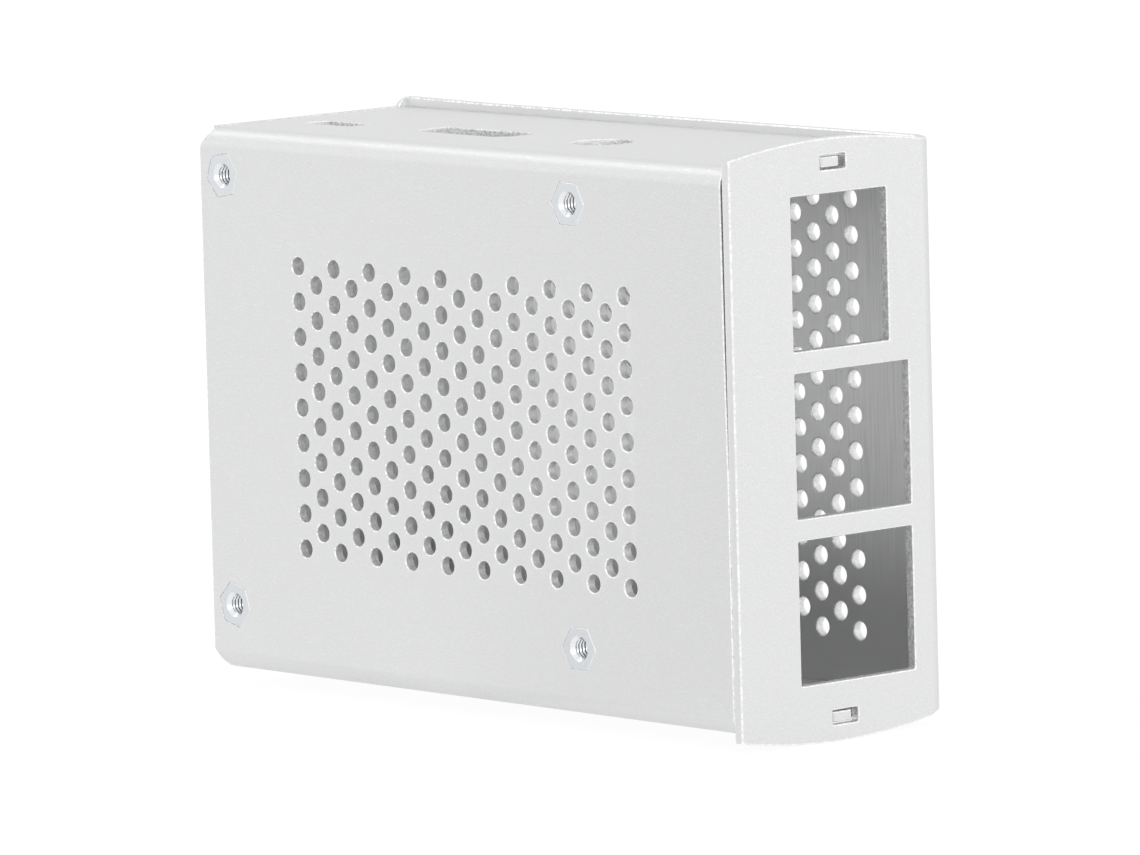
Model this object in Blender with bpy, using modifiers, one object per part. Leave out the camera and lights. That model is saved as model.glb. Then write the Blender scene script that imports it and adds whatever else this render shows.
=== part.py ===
"""Folded sheet case for a credit-card-size single-board computer.

Two folded sheets make the case. The tray is a base plate with a wall on each long side: one
wall has the power, video and audio openings, and both end in a tab. The cover is a long
plate that folds down at both ends: the jack end has three windows and two slots for the
tabs, and the card end has a wide notch for the board's edge and its memory card. Four
threaded standoffs are pressed into the base plate, with a screw in each one to clamp the
board.

The case stands on a long side. X runs from the card end to the jack end, Y from the base
plate to the cover, and Z up to the wall with the ports.
"""

import bmesh
import bpy
from math import acos, asin, cos, pi, radians, sin, sqrt
from mathutils import Matrix, Vector

MM = 0.001

# Sheet and folds
SHEET = 1.2 * MM
TRAY_BEND = 1.0 * MM                # inside radius
COVER_BEND = 1.5 * MM               # inside radius
BEND_SEGMENTS = 6

# Tray
TRAY_LENGTH = 86.0 * MM
TAB_WIDTH = 2.9 * MM
TAB_RECESS = 0.3 * MM               # tab's end below the outer face of the cover
TAB_CORNER = 0.4 * MM

# Cover
CASE_DEPTH = 31.2 * MM              # base plate's outer face to the cover's outer face
COVER_LIP = 0.95 * MM               # the cover's edge beyond the walls
CROWN_RISE = 2.05 * MM              # the jack end's curved edge beyond the walls, at its middle
CROWN_HEIGHT = 15.0 * MM            # middle of that curve above the base plate's outer face
CARD_END_CORNER = 5.0 * MM
CARD_END_CORNER_START = 3.1 * MM    # from the card end's outer face
CARD_END_RISE = 2.15 * MM           # card end's free edge above the base plate's outer face
EDGE_SEGMENTS = 12

# Clearances
JACK_END_GAP = 0.5 * MM
CARD_END_GAP = 0.3 * MM
WALL_GAP = 0.3 * MM                 # wall's edge to the cover
SLOT_GAP = 0.2 * MM                 # round the tabs, across the sheet
PRESS_GAP = 0.1 * MM                # round a pressed or threaded piece

# Board that the case is made for
BOARD_THICKNESS = 1.4 * MM
HOLE_INSET = 3.5 * MM
HOLE_SPAN_X = 58.0 * MM
HOLE_SPAN_Z = 49.0 * MM
BOARD_END_GAP = 0.3 * MM            # board's edge to the tray's edge at the card end
BOARD_PORT_GAP = 0.62 * MM          # board's edge to the inside of the port wall
BOARD_PLAIN_GAP = 2.78 * MM         # board's other edge to the inside of the plain wall

# Standoffs and board screws
STANDOFF_HEIGHT = 6.8 * MM          # above the inside of the base plate
HEX_FLATS = 4.65 * MM
HEX_THICKNESS = 0.8 * MM
BARREL_DIAMETER = 4.2 * MM
BORE_DIAMETER = 2.4 * MM
MOUTH_CHAMFER = 0.23 * MM
SCREW_LENGTH = 5.0 * MM
SCREW_HEAD_DIAMETER = 4.6 * MM
SCREW_HEAD_HEIGHT = 1.5 * MM
SCREW_EDGE_HEIGHT = 0.6 * MM        # straight rim of the pan head
ROUND_SEGMENTS = 16

# Vents, in staggered columns
VENT_DIAMETER = 2.0 * MM
VENT_SIDES = 6
VENT_COLUMN_STEP = 3.0 * MM
VENT_ROW_PITCH = 4.0 * MM
TRAY_VENT_COLUMNS = 19
TRAY_VENT_ROWS = 9
TRAY_VENT_SHIFT_X = 0.4 * MM
COVER_VENT_COLUMNS = 21
COVER_VENT_ROWS = 13
COVER_VENT_SHIFT_X = 1.15 * MM
COVER_VENT_SHIFT_Z = 0.3 * MM

# Windows in the jack end, from the port wall down
WINDOW_TOP = 26.9 * MM              # above the middle of the case
WINDOW_START = 0.35 * MM            # below the board's upper face
WINDOW_BAR = 2.45 * MM
NETWORK_WINDOW_END = 7.85 * MM      # below the cover's outer face
NETWORK_WINDOW_WIDTH = 16.75 * MM
TWIN_WINDOW_END = 5.05 * MM         # below the cover's outer face
TWIN_WINDOW_WIDTH = 15.8 * MM
SLOT_LENGTH = 3.85 * MM
SLOT_START = 13.55 * MM             # above the base plate's outer face
TAB_START = 0.35 * MM               # above the slot's lower end

# Openings in the port wall: distance from the board's edge at the card end, and height of
# the middle above the board
POWER_PLACE = 10.6 * MM
POWER_HEIGHT = 2.0 * MM
POWER_WIDTH = 8.0 * MM
POWER_DEPTH = 3.3 * MM
POWER_CORNER = 0.8 * MM
VIDEO_PLACE = 32.0 * MM
VIDEO_HEIGHT = 3.55 * MM
VIDEO_WIDTH = 15.1 * MM
VIDEO_DEPTH = 5.4 * MM
VIDEO_CHAMFER = 1.5 * MM
AUDIO_PLACE = 53.5 * MM
AUDIO_HEIGHT = 3.3 * MM
AUDIO_DIAMETER = 6.8 * MM

# Notch in the card end, for the board's edge and its memory card
CARD_NOTCH_INSET = 0.5 * MM         # inside the board's side edges, as its corners are rounded
CARD_NOTCH_TOP = 0.6 * MM           # above the board's upper face
CARD_NOTCH_CORNER = 1.0 * MM

# How far a cutter runs past what it cuts
CUT_MARGIN = 2.0 * MM

# Places worked out from the sizes, in the case's frame: x from the middle of the length,
# y from the base plate's outer face, z from the middle of the width
BOARD_WIDTH = HOLE_SPAN_Z + 2 * HOLE_INSET
TRAY_WIDTH = BOARD_WIDTH + BOARD_PORT_GAP + BOARD_PLAIN_GAP + 2 * SHEET
CASE_LENGTH = TRAY_LENGTH + JACK_END_GAP + SHEET
CARD_END = -CASE_LENGTH / 2
JACK_END = CASE_LENGTH / 2
TRAY_JACK_EDGE = JACK_END - SHEET - JACK_END_GAP
WALL_START = CARD_END + SHEET + CARD_END_GAP
WALL_FACE = TRAY_WIDTH / 2
WALL_INSIDE = WALL_FACE - SHEET
WALL_TOP = CASE_DEPTH - SHEET - WALL_GAP
WALL_CORNER = COVER_BEND - WALL_GAP
LIP_EDGE = WALL_FACE + COVER_LIP
CROWN_EDGE = WALL_FACE + CROWN_RISE
BOARD_CARD_EDGE = CARD_END + BOARD_END_GAP
BOARD_PORT_EDGE = WALL_INSIDE - BOARD_PORT_GAP
BOARD_UNDERSIDE = SHEET + STANDOFF_HEIGHT
BOARD_TOP = BOARD_UNDERSIDE + BOARD_THICKNESS
BOARD_MIDDLE = BOARD_PORT_EDGE - BOARD_WIDTH / 2
VENT_RADIUS = VENT_DIAMETER / 2 * sqrt(pi / (VENT_SIDES * sin(pi / VENT_SIDES) * cos(pi / VENT_SIDES)))

# Corner of the standoff's hexagon, as an angle from +X, for each standoff as it was pressed
STANDOFFS = (
    ("card_end_port_side", 0, 0, radians(11.3)),
    ("jack_end_port_side", 1, 0, radians(58.4)),
    ("card_end_plain_side", 0, 1, radians(46.6)),
    ("jack_end_plain_side", 1, 1, radians(0.5)),
)

# Turns a piece made along Z so that it points along +Y
ALONG_Y = Matrix.Rotation(-pi / 2, 4, "X")
# Turns an outline drawn in the XY plane so that it lies in the YZ plane, and its depth along X
ACROSS_X = Matrix(((0, 0, 1), (1, 0, 0), (0, 1, 0))).to_4x4()
# Turns an outline drawn in the XY plane so that it lies in the XZ plane, and its depth along Y
ACROSS_Y = Matrix(((1, 0, 0), (0, 0, -1), (0, 1, 0))).to_4x4()


def clear_scene():
    for item in list(bpy.data.objects):
        bpy.data.objects.remove(item, do_unlink=True)


def new_collection(name):
    collection = bpy.data.collections.new(name)
    bpy.context.scene.collection.children.link(collection)
    return collection


def new_material(name, colour, metallic, roughness):
    material = bpy.data.materials.new(name)
    material.use_nodes = True
    shader = material.node_tree.nodes["Principled BSDF"]
    shader.inputs["Base Color"].default_value = (*colour, 1.0)
    shader.inputs["Metallic"].default_value = metallic
    shader.inputs["Roughness"].default_value = roughness
    return material


def new_object(name, mesh, collection, parent):
    item = bpy.data.objects.new(name, mesh)
    collection.objects.link(item)
    item.parent = parent
    return item


def mesh_from(name, build):
    """A mesh filled by a function that takes a bmesh."""
    mesh = bpy.data.meshes.new(name)
    bm = bmesh.new()
    build(bm)
    bm.to_mesh(mesh)
    bm.free()
    return mesh


def arc(centre, radius, start, end, segments):
    """Points of a flat arc, both ends included."""
    points = []
    for step in range(segments + 1):
        angle = start + (end - start) * step / segments
        points.append((centre[0] + radius * cos(angle), centre[1] + radius * sin(angle)))
    return points


def as_cutter(item):
    item.hide_render = True
    item.display_type = "WIRE"
    return item


def box_cutter(name, low, high, collection, parent):
    size = Vector(high) - Vector(low)
    place = Matrix.Translation((Vector(high) + Vector(low)) / 2) @ Matrix.Diagonal((*size, 1))
    mesh = mesh_from(name, lambda bm: bmesh.ops.create_cube(bm, size=1, matrix=place))
    return as_cutter(new_object(name, mesh, collection, parent))


def outline_cutter(name, points, depth, place, collection, parent):
    """A flat outline with a thickness, made as a filled curve and turned into a mesh."""
    curve = bpy.data.curves.new(name, "CURVE")
    curve.dimensions = "2D"
    curve.fill_mode = "BOTH"
    curve.extrude = depth / 2
    spline = curve.splines.new("POLY")
    spline.points.add(len(points) - 1)
    for point, (x, y) in zip(spline.points, points):
        point.co = (x, y, 0, 1)
    spline.use_cyclic_u = True
    drawn = new_object(name + "_outline", curve, collection, None)
    drawn.matrix_world = place
    bpy.context.view_layer.update()
    mesh = bpy.data.meshes.new_from_object(drawn.evaluated_get(bpy.context.evaluated_depsgraph_get()))
    mesh.name = name
    mesh.transform(drawn.matrix_world)
    bpy.data.objects.remove(drawn)
    bm = bmesh.new()
    bm.from_mesh(mesh)
    bmesh.ops.remove_doubles(bm, verts=bm.verts, dist=1e-6)
    bmesh.ops.recalc_face_normals(bm, faces=bm.faces)
    bm.to_mesh(mesh)
    bm.free()
    return as_cutter(new_object(name, mesh, collection, parent))


def vent_cutter(name, columns, rows, middle, collection, parent):
    """Prisms in staggered columns, one for each vent."""

    def build(bm):
        for column in range(columns):
            count = rows - column % 2
            x = middle.x + (column - (columns - 1) / 2) * VENT_COLUMN_STEP
            for row in range(count):
                z = middle.z + (row - (count - 1) / 2) * VENT_ROW_PITCH
                place = Matrix.Translation((x, middle.y, z)) @ ALONG_Y
                bmesh.ops.create_cone(
                    bm, cap_ends=True, segments=VENT_SIDES, radius1=VENT_RADIUS,
                    radius2=VENT_RADIUS, depth=SHEET + 2 * CUT_MARGIN, matrix=place)

    return as_cutter(new_object(name, mesh_from(name, build), collection, parent))


def cut(item, cutter, operation="DIFFERENCE"):
    modifier = item.modifiers.new(cutter.name, "BOOLEAN")
    modifier.operation = operation
    modifier.solver = "EXACT"
    modifier.object = cutter


def folded_strip(name, path, sweep, material, collection, parent):
    """A sheet folded along a path on its outer face, which lies to the right of the path."""

    def build(bm):
        near = [bm.verts.new(point) for point in path]
        far = [bm.verts.new(point + sweep) for point in path]
        for step in range(len(path) - 1):
            bm.faces.new((near[step], near[step + 1], far[step + 1], far[step]))

    sheet = new_object(name, mesh_from(name, build), collection, parent)
    sheet.data.materials.append(material)
    solid = sheet.modifiers.new("thickness", "SOLIDIFY")
    solid.thickness = SHEET
    solid.offset = -1
    solid.use_even_offset = True
    return sheet


def standoff_places():
    """Middle of each standoff, in the plane of the base plate's outer face."""
    first_x = BOARD_CARD_EDGE + HOLE_INSET
    first_z = BOARD_PORT_EDGE - HOLE_INSET
    for name, along, down, turn in STANDOFFS:
        place = Vector((first_x + along * HOLE_SPAN_X, 0, first_z - down * HOLE_SPAN_Z))
        yield name, place, turn


def make_tray(material, parts, cutters, frame):
    radius = TRAY_BEND + SHEET
    flat = WALL_FACE - radius
    profile = [(WALL_TOP, WALL_FACE)]
    profile += arc((radius, flat), radius, pi / 2, pi, BEND_SEGMENTS)
    profile += arc((radius, -flat), radius, pi, 3 * pi / 2, BEND_SEGMENTS)
    profile.append((WALL_TOP, -WALL_FACE))
    path = [Vector((CARD_END, y, z)) for y, z in profile]
    sweep = Vector((JACK_END - TAB_RECESS - CARD_END, 0, 0))
    tray = folded_strip("base_tray", path, sweep, material, parts, frame)

    for cutter in tray_edge_cutters(cutters, frame):
        cut(tray, cutter)
    for cutter in port_cutters(cutters, frame):
        cut(tray, cutter)
    middle = Vector(((CARD_END + TRAY_JACK_EDGE) / 2 + TRAY_VENT_SHIFT_X, SHEET / 2, 0))
    cut(tray, vent_cutter("tray_vents", TRAY_VENT_COLUMNS, TRAY_VENT_ROWS, middle, cutters, frame))
    cut(tray, standoff_seat_cutter(cutters, frame))
    return tray


def tray_edge_cutters(cutters, frame):
    """What is trimmed off the swept sheet at its ends, to leave the tabs and the base plate."""
    side = 2 * (WALL_FACE + CUT_MARGIN)
    tab_end = JACK_END - TAB_RECESS
    past = tab_end + CUT_MARGIN
    above = WALL_TOP + CUT_MARGIN
    low = SLOT_START + TAB_START
    high = low + TAB_WIDTH
    inner = tab_end - TAB_CORNER
    outline = [(TRAY_JACK_EDGE, -CUT_MARGIN), (past, -CUT_MARGIN), (past, low + TAB_CORNER)]
    outline += arc((inner, low + TAB_CORNER), TAB_CORNER, 0, -pi / 2, 4)
    outline.append((TRAY_JACK_EDGE, low))
    yield outline_cutter("below_tabs", outline, side, Matrix(), cutters, frame)
    corner = (TRAY_JACK_EDGE - WALL_CORNER, WALL_TOP - WALL_CORNER)
    outline = [(TRAY_JACK_EDGE, high)]
    outline += arc((inner, high - TAB_CORNER), TAB_CORNER, pi / 2, 0, 4)
    outline += [(past, high - TAB_CORNER), (past, above), (corner[0], above)]
    outline += arc(corner, WALL_CORNER, pi / 2, 0, 6)
    yield outline_cutter("above_tabs", outline, side, Matrix(), cutters, frame)

    wall_low = SHEET + TRAY_BEND / 10
    past = CARD_END - CUT_MARGIN
    corner = (WALL_START + WALL_CORNER, WALL_TOP - WALL_CORNER)
    outline = [(past, wall_low), (WALL_START, wall_low)]
    outline += arc(corner, WALL_CORNER, pi, pi / 2, 6)
    outline += [(corner[0], above), (past, above)]
    yield outline_cutter("wall_starts", outline, side, Matrix(), cutters, frame)

    clip_width = TRAY_BEND + SHEET
    slope = clip_width / (WALL_START - CARD_END)
    clip_top = SHEET + TRAY_BEND / 2
    place = Matrix.Translation((0, (clip_top - CUT_MARGIN) / 2, 0)) @ ACROSS_Y
    for name, sign in (("port_side", 1), ("plain_side", -1)):
        beyond = sign * (WALL_FACE + CUT_MARGIN * slope)
        outline = [
            (past, sign * (WALL_FACE - clip_width - CUT_MARGIN * slope)),
            (WALL_START + CUT_MARGIN, beyond), (past, beyond),
        ]
        yield outline_cutter(
            "corner_clip_" + name, outline, clip_top + CUT_MARGIN, place, cutters, frame)


def port_cutters(cutters, frame):
    """Power, video and audio openings, through the port wall."""
    depth = SHEET + 2 * CUT_MARGIN
    wall = WALL_FACE - SHEET / 2

    def place(along, height):
        return Matrix.Translation((BOARD_CARD_EDGE + along, BOARD_TOP + height, wall))

    x = POWER_WIDTH / 2 - POWER_CORNER
    y = POWER_DEPTH / 2 - POWER_CORNER
    power = []
    for centre, start in (((x, y), 0), ((-x, y), pi / 2), ((-x, -y), pi), ((x, -y), 3 * pi / 2)):
        power += arc(centre, POWER_CORNER, start, start + pi / 2, 4)
    yield outline_cutter(
        "power_port", power, depth, place(POWER_PLACE, POWER_HEIGHT), cutters, frame)

    x = VIDEO_WIDTH / 2
    y = VIDEO_DEPTH / 2
    video = [
        (-x, y), (-x, -y + VIDEO_CHAMFER), (-x + VIDEO_CHAMFER, -y),
        (x - VIDEO_CHAMFER, -y), (x, -y + VIDEO_CHAMFER), (x, y),
    ]
    yield outline_cutter(
        "video_port", video, depth, place(VIDEO_PLACE, VIDEO_HEIGHT), cutters, frame)

    audio = mesh_from("audio_port", lambda bm: bmesh.ops.create_cone(
        bm, cap_ends=True, segments=24, radius1=AUDIO_DIAMETER / 2, radius2=AUDIO_DIAMETER / 2,
        depth=depth, matrix=place(AUDIO_PLACE, AUDIO_HEIGHT)))
    yield as_cutter(new_object("audio_port", audio, cutters, frame))


def standoff_seat_cutter(cutters, frame):
    """Hexagonal pockets for the heads, and the round holes that the barrels pass through."""

    def build(bm):
        pocket_radius = (HEX_FLATS / 2 + PRESS_GAP) / cos(pi / 6)
        pocket_depth = HEX_THICKNESS + PRESS_GAP
        hole_radius = BARREL_DIAMETER / 2 + PRESS_GAP
        for _, place, turn in standoff_places():
            seat = Matrix.Translation(place) @ ALONG_Y
            turned = seat @ Matrix.Rotation(-turn, 4, "Z")
            pocket = Matrix.Translation((0, 0, (pocket_depth - CUT_MARGIN) / 2))
            bmesh.ops.create_cone(
                bm, cap_ends=True, segments=6, radius1=pocket_radius, radius2=pocket_radius,
                depth=pocket_depth + CUT_MARGIN, matrix=turned @ pocket)
            hole = Matrix.Translation((0, 0, pocket_depth / 2 + (SHEET + CUT_MARGIN) / 2))
            bmesh.ops.create_cone(
                bm, cap_ends=True, segments=ROUND_SEGMENTS, radius1=hole_radius,
                radius2=hole_radius, depth=SHEET + CUT_MARGIN - pocket_depth, matrix=seat @ hole)

    return as_cutter(new_object("standoff_seats", mesh_from("standoff_seats", build), cutters, frame))


def make_cover(material, parts, cutters, frame):
    radius = COVER_BEND + SHEET
    high = CASE_DEPTH - radius
    profile = [(JACK_END, 0)]
    profile += arc((JACK_END - radius, high), radius, 0, pi / 2, BEND_SEGMENTS)
    profile += arc((CARD_END + radius, high), radius, pi / 2, pi, BEND_SEGMENTS)
    profile.append((CARD_END, CARD_END_RISE))
    side = CROWN_EDGE + CUT_MARGIN
    path = [Vector((x, y, -side)) for x, y in profile]
    cover = folded_strip("top_cover", path, Vector((0, 0, 2 * side)), material, parts, frame)

    cut(cover, cover_envelope(cutters, frame), "INTERSECT")
    for cutter in card_end_cutters(cutters, frame):
        cut(cover, cutter)
    for cutter in jack_end_cutters(cutters, frame):
        cut(cover, cutter)
    middle = Vector((COVER_VENT_SHIFT_X, CASE_DEPTH - SHEET / 2, COVER_VENT_SHIFT_Z))
    cut(cover, vent_cutter("cover_vents", COVER_VENT_COLUMNS, COVER_VENT_ROWS, middle, cutters, frame))
    return cover


def cover_envelope(cutters, frame):
    """The cover's outline from the jack end: curved side edges that meet its straight lips."""
    bend_start = CASE_DEPTH - COVER_BEND - SHEET - CROWN_HEIGHT
    drop = CROWN_EDGE - LIP_EDGE
    radius = (bend_start ** 2 + drop ** 2) / (2 * drop)
    centre = (CROWN_HEIGHT, CROWN_EDGE - radius)
    reach = asin((CROWN_HEIGHT + CUT_MARGIN) / radius)
    meet = asin(bend_start / radius)
    edge = arc(centre, radius, pi / 2 + reach, pi / 2 - meet, EDGE_SEGMENTS)
    edge.append((CASE_DEPTH + CUT_MARGIN, LIP_EDGE))
    outline = edge + [(y, -z) for y, z in reversed(edge)]
    depth = CASE_LENGTH + 2 * CUT_MARGIN
    return outline_cutter("cover_outline", outline, depth, ACROSS_X, cutters, frame)


def card_end_cutters(cutters, frame):
    """Rounded corners that bring the card end in to the walls, and the notch in its free edge."""
    centre = (CARD_END + CARD_END_CORNER_START, LIP_EDGE - CARD_END_CORNER)
    turn = acos((WALL_FACE - centre[1]) / CARD_END_CORNER)
    curve = arc(centre, CARD_END_CORNER, pi / 2, pi / 2 + turn, 8)
    past = CARD_END - CUT_MARGIN
    above = CROWN_EDGE + CUT_MARGIN
    place = Matrix.Translation((0, CASE_DEPTH / 2, 0)) @ ACROSS_Y
    for name, sign in (("port_side", 1), ("plain_side", -1)):
        outline = [(centre[0], above)] + curve + [(past, WALL_FACE), (past, above)]
        outline = [(x, sign * z) for x, z in outline]
        depth = CASE_DEPTH + 2 * CUT_MARGIN
        yield outline_cutter("card_end_corner_" + name, outline, depth, place, cutters, frame)

    half = BOARD_WIDTH / 2 - CARD_NOTCH_INSET
    top = BOARD_TOP + CARD_NOTCH_TOP
    low = CARD_END_RISE - CUT_MARGIN
    inset = CARD_NOTCH_CORNER
    notch = [(low, half)]
    notch += arc((top - inset, half - inset), inset, pi / 2, 0, 4)
    notch += arc((top - inset, -half + inset), inset, 0, -pi / 2, 4)
    notch.append((low, -half))
    place = Matrix.Translation((CARD_END + SHEET / 2, 0, BOARD_MIDDLE)) @ ACROSS_X
    yield outline_cutter("card_notch", notch, SHEET + 2 * CUT_MARGIN, place, cutters, frame)


def jack_end_cutters(cutters, frame):
    """Three windows and two tab slots, through the jack end."""
    near = JACK_END - SHEET - CUT_MARGIN
    far = JACK_END + CUT_MARGIN
    top = WINDOW_TOP
    windows = (
        ("network_window", NETWORK_WINDOW_END, NETWORK_WINDOW_WIDTH),
        ("twin_window_middle", TWIN_WINDOW_END, TWIN_WINDOW_WIDTH),
        ("twin_window_plain_side", TWIN_WINDOW_END, TWIN_WINDOW_WIDTH),
    )
    for name, end, width in windows:
        low = (near, BOARD_TOP - WINDOW_START, top - width)
        high = (far, CASE_DEPTH - end, top)
        yield box_cutter(name, low, high, cutters, frame)
        top -= width + WINDOW_BAR
    for name, sign in (("port_side", 1), ("plain_side", -1)):
        edges = sorted((sign * (WALL_INSIDE - SLOT_GAP), sign * (WALL_FACE + SLOT_GAP)))
        yield box_cutter(
            "tab_slot_" + name, (near, SLOT_START, edges[0]),
            (far, SLOT_START + SLOT_LENGTH, edges[1]), cutters, frame)


def turned(name, profile, material, collection, parent):
    """A turned piece: a profile in the XZ plane, from the top down, screwed round Z."""

    def build(bm):
        verts = [bm.verts.new((r, 0, z)) for r, z in profile]
        for pair in zip(verts, verts[1:]):
            bm.edges.new(pair)

    mesh = mesh_from(name, build)
    item = new_object(name, mesh, collection, parent)
    if material:
        mesh.materials.append(material)
    screw = item.modifiers.new("turn", "SCREW")
    screw.steps = ROUND_SEGMENTS
    screw.render_steps = ROUND_SEGMENTS
    screw.use_merge_vertices = True
    screw.merge_threshold = 1e-6
    screw.use_smooth_shade = True
    return item


def make_standoff(name, place, turn, material, parts, cutters, frame):
    """Hexagonal head flush in the base plate, round barrel, and a threaded bore through both."""
    hex_radius = HEX_FLATS / 2 / cos(pi / 6)
    length = SHEET + STANDOFF_HEIGHT
    barrel_radius = BARREL_DIAMETER / 2
    seat = Matrix.Translation(place) @ ALONG_Y

    def build_head(bm):
        middle = Matrix.Translation((0, 0, HEX_THICKNESS / 2)) @ Matrix.Rotation(-turn, 4, "Z")
        bmesh.ops.create_cone(
            bm, cap_ends=True, segments=6, radius1=hex_radius, radius2=hex_radius,
            depth=HEX_THICKNESS, matrix=middle)

    standoff = new_object("standoff_" + name, mesh_from("standoff_" + name, build_head), parts, frame)
    standoff.data.materials.append(material)
    standoff.matrix_local = seat

    start = HEX_THICKNESS / 2
    barrel_profile = [(0, length), (barrel_radius, length), (barrel_radius, start), (0, start)]
    barrel = turned("barrel_" + name, barrel_profile, None, cutters, frame)
    barrel.matrix_local = seat
    cut(standoff, as_cutter(barrel), "UNION")

    bore = BORE_DIAMETER / 2
    mouth = bore + MOUTH_CHAMFER
    bore_profile = [
        (0, length + CUT_MARGIN), (mouth, length + CUT_MARGIN), (mouth, length),
        (bore, length - MOUTH_CHAMFER), (bore, MOUTH_CHAMFER), (mouth, 0),
        (mouth, -CUT_MARGIN), (0, -CUT_MARGIN),
    ]
    bore_cutter = turned("bore_" + name, bore_profile, None, cutters, frame)
    bore_cutter.matrix_local = seat
    cut(standoff, as_cutter(bore_cutter))
    standoff.data.shade_smooth()
    standoff.data.set_sharp_from_angle(angle=radians(30))
    return standoff


def make_screw(name, place, material, parts, frame):
    """Pan-head screw, its head on the inner end of the standoff and its shank in the bore."""
    seat_height = SHEET + STANDOFF_HEIGHT + PRESS_GAP
    head = SCREW_HEAD_DIAMETER / 2
    shank = BORE_DIAMETER / 2 - PRESS_GAP
    dome = SCREW_HEAD_HEIGHT - SCREW_EDGE_HEIGHT
    profile = [(0, SCREW_HEAD_HEIGHT)]
    for step in (1, 2):
        angle = pi / 2 * (1 - step / 3)
        profile.append((head * cos(angle), SCREW_EDGE_HEIGHT + dome * sin(angle)))
    profile += [
        (head, SCREW_EDGE_HEIGHT), (head, 0), (shank, 0),
        (shank, -SCREW_LENGTH + shank / 2), (shank / 2, -SCREW_LENGTH), (0, -SCREW_LENGTH),
    ]
    screw = turned("board_screw_" + name, profile, material, parts, frame)
    screw.matrix_local = Matrix.Translation(place + Vector((0, seat_height, 0))) @ ALONG_Y
    return screw


def main():
    clear_scene()
    parts = new_collection("single_board_computer_case")
    cutters = new_collection("cutters")
    frame = bpy.data.objects.new("case_frame", None)
    parts.objects.link(frame)
    frame.location = (0, -CASE_DEPTH / 2, CROWN_EDGE)

    sheet = new_material("anodised_aluminium", (0.72, 0.72, 0.73), 0.6, 0.45)
    cover_sheet = new_material("anodised_aluminium_cover", (0.76, 0.76, 0.77), 0.6, 0.45)
    zinc = new_material("zinc_plated_steel", (0.62, 0.65, 0.68), 0.9, 0.3)
    screw_steel = new_material("nickel_plated_steel", (0.58, 0.58, 0.57), 0.9, 0.3)

    make_tray(sheet, parts, cutters, frame)
    make_cover(cover_sheet, parts, cutters, frame)
    for name, place, turn in standoff_places():
        make_standoff(name, place, turn, zinc, parts, cutters, frame)
        make_screw(name, place, screw_steel, parts, frame)


main()
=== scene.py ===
"""Dressed model of a folded sheet case for a credit-card-size single-board computer.

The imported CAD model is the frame. Both sheets are drawn as flat blanks with every hole in
them, given their thickness and rounded edges, and folded. The standoffs and the screws are
wound with real threads. Lengths are in metres, in the frame's axes: X from the card end to
the jack end, Y from the base plate to the cover, Z up.
"""

import math

import bmesh
import bpy
import numpy as np
from bpy.props import FloatProperty, FloatVectorProperty, IntProperty, PointerProperty
from bpy.types import Operator, Panel, PropertyGroup
from mathutils import Matrix, Vector
from mathutils.geometry import delaunay_2d_cdt


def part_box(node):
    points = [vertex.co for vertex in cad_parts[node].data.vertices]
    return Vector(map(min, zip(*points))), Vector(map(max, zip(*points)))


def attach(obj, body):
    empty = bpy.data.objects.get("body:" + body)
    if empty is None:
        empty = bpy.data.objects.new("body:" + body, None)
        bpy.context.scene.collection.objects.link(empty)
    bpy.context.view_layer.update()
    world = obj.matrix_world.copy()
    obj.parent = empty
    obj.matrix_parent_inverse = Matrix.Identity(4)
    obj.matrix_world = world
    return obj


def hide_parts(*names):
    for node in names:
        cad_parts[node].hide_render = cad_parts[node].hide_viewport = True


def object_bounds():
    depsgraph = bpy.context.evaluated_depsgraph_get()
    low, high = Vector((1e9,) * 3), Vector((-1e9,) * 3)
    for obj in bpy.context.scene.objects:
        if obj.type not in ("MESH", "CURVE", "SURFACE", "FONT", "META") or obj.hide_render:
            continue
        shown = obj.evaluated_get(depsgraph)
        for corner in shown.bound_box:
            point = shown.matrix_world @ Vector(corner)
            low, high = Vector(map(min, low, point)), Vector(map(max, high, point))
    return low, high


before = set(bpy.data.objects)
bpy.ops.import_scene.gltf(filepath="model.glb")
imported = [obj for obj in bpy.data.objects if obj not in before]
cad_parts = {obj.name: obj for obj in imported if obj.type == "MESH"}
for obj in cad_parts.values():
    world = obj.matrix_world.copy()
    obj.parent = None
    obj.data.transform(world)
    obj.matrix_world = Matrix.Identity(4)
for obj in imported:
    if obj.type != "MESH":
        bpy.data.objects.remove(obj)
CAD_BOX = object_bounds()

bl_info = {
    "name": "Single board computer case",
    "version": (1, 0, 0),
    "blender": (4, 5, 0),
    "location": "3D View > Sidebar > Case",
    "description": "Folds and dresses a sheet metal case round its packed CAD model",
    "category": "Object",
}

MM = 0.001
TRAY_LOW, TRAY_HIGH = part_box("base_tray")
COVER_LOW, COVER_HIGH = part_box("top_cover")
MIDDLE_Z = (TRAY_LOW.z + TRAY_HIGH.z) / 2
BASE_Y = TRAY_LOW.y
QUARTER = math.pi / 2

# The standoffs' and screws' places, and how far each hexagonal head is turned about its axis
PLACES = ("card_end_port_side", "jack_end_port_side", "card_end_plain_side", "jack_end_plain_side")
HEX_TURNS = dict(zip(PLACES, (math.radians(a) for a in (11.3, 58.4, 46.6, 0.5))))

# Material slots of a sheet
FRONT, BACK, CUT, RIM, VENT_WALL = range(5)

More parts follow.
